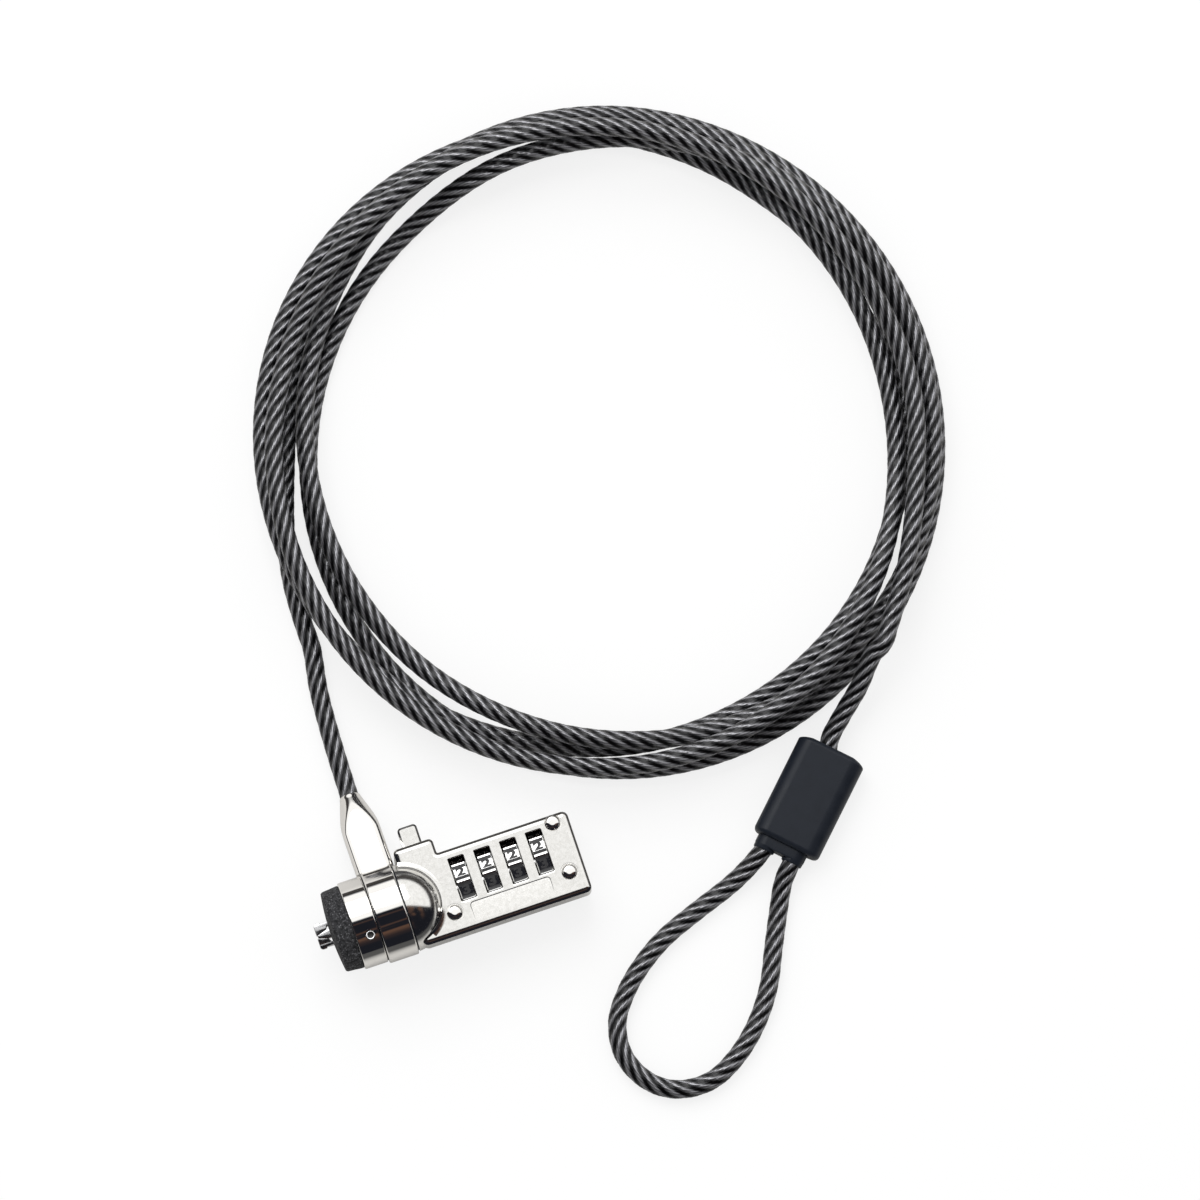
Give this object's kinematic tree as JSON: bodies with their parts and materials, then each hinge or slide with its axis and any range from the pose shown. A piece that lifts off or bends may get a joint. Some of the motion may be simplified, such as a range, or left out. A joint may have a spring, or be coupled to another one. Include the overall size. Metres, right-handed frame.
{
  "type": "laptop cable lock",
  "caption": "Combination lock head with a hooked spigot for a laptop's security slot, on a swivelling vinyl-covered steel cable that lies coiled and ends in a moulded eye.",
  "frame": {"origin": "on the flat back of the lock head, under the barrel's axis and midway along the row of number wheels", "axes": "+X along the lock head away from the spigot, +Y towards the ferrule and the coil, +Z out of the face with the number windows"},
  "size_m": [0.1626, 0.2091, 0.021],
  "materials": {
    "bright_chrome": "polished",
    "satin_silver": "satin silver",
    "pad_rubber": "matt, finely speckled",
    "cable_vinyl": "clear smoked vinyl over laid steel",
    "sleeve_vinyl": "smooth moulded",
    "wheel_plastic": "bright plated, with dark grey numbers",
    "steel": "plain",
    "brass": "plain"
  },
  "bodies": {
    "cable_assembly": {"swivel_collar": "bright_chrome", "cable_ferrule": "bright_chrome", "cable_swage": "steel", "cable_lead": "cable_vinyl", "cable_coil": "cable_vinyl", "cable_tail": "cable_vinyl", "cable_eye": "cable_vinyl", "eye_sleeve": "sleeve_vinyl", "eye_crimp": "steel"},
    "lock_head": {"front_barrel": "bright_chrome", "face_pad": "pad_rubber", "barrel_pin": "steel", "jaw_pins": "steel", "housing_body": "satin_silver", "front_cover": "satin_silver", "cover_rivets": "bright_chrome", "wheel_spacers": "steel", "detent_springs": "brass", "button_pin": "steel", "spindle_spring": "steel"},
    "button": {"release_button": "satin_silver"},
    "carriage": {"blocking_pin": "steel", "draw_plate": "steel", "spindle": "steel"},
    "upper_jaw": {"hook_jaw_upper": "steel"},
    "lower_jaw": {"hook_jaw_lower": "steel"},
    "reset": {"reset_cam": "steel"},
    "wheel_1": {"number_wheel_1": "wheel_plastic", "clutch_sleeve_1": "brass"},
    "wheel_2": {"number_wheel_2": "wheel_plastic", "clutch_sleeve_2": "brass"},
    "wheel_3": {"number_wheel_3": "wheel_plastic", "clutch_sleeve_3": "brass"},
    "wheel_4": {"number_wheel_4": "wheel_plastic", "clutch_sleeve_4": "brass"}
  },
  "joints": [
    {"name": "head_swivel", "type": "hinge", "parent": "cable_assembly", "child": "lock_head", "pos_m": [-0.02515, 0, 0.0111], "axis": [1, 0, 0], "continuous": true},
    {"name": "button_press", "type": "slide", "parent": "lock_head", "child": "button", "axis": [0, -1, 0], "range_m": [0, 0.0024], "stiffness_N_per_m": 400, "springref_m": -0.002},
    {"name": "spindle_slide", "type": "slide", "parent": "lock_head", "child": "carriage", "axis": [1, 0, 0], "range_m": [0, 0.0024], "deforming": ["spindle_spring"]},
    {"name": "upper_jaw_close", "type": "hinge", "parent": "lock_head", "child": "upper_jaw", "pos_m": [-0.0314, 0.00225, 0.0111], "axis": [0, 0, 1], "range_deg": [0, 1.8]},
    {"name": "lower_jaw_close", "type": "hinge", "parent": "lock_head", "child": "lower_jaw", "pos_m": [-0.0314, -0.00225, 0.0111], "axis": [0, 0, -1], "range_deg": [0, 1.8]},
    {"name": "reset_turn", "type": "hinge", "parent": "lock_head", "child": "reset", "pos_m": [0.015, 0.0005, 0.0087], "axis": [1, 0, 0], "range_deg": [0, 90]},
    {"name": "wheel_1_turn", "type": "hinge", "parent": "lock_head", "child": "wheel_1", "pos_m": [-0.00855, 0.0005, 0.0087], "axis": [1, 0, 0], "continuous": true},
    {"name": "wheel_2_turn", "type": "hinge", "parent": "lock_head", "child": "wheel_2", "pos_m": [-0.00285, 0.0005, 0.0087], "axis": [1, 0, 0], "continuous": true},
    {"name": "wheel_3_turn", "type": "hinge", "parent": "lock_head", "child": "wheel_3", "pos_m": [0.00285, 0.0005, 0.0087], "axis": [1, 0, 0], "continuous": true},
    {"name": "wheel_4_turn", "type": "hinge", "parent": "lock_head", "child": "wheel_4", "pos_m": [0.00855, 0.0005, 0.0087], "axis": [1, 0, 0], "continuous": true}
  ],
  "couplings": [
    {"joint": "spindle_slide", "follows": "button_press", "ratio": 1},
    {"joint": "upper_jaw_close", "follows": "button_press", "rad_per_m": 13.017},
    {"joint": "lower_jaw_close", "follows": "button_press", "rad_per_m": 13.017}
  ]
}
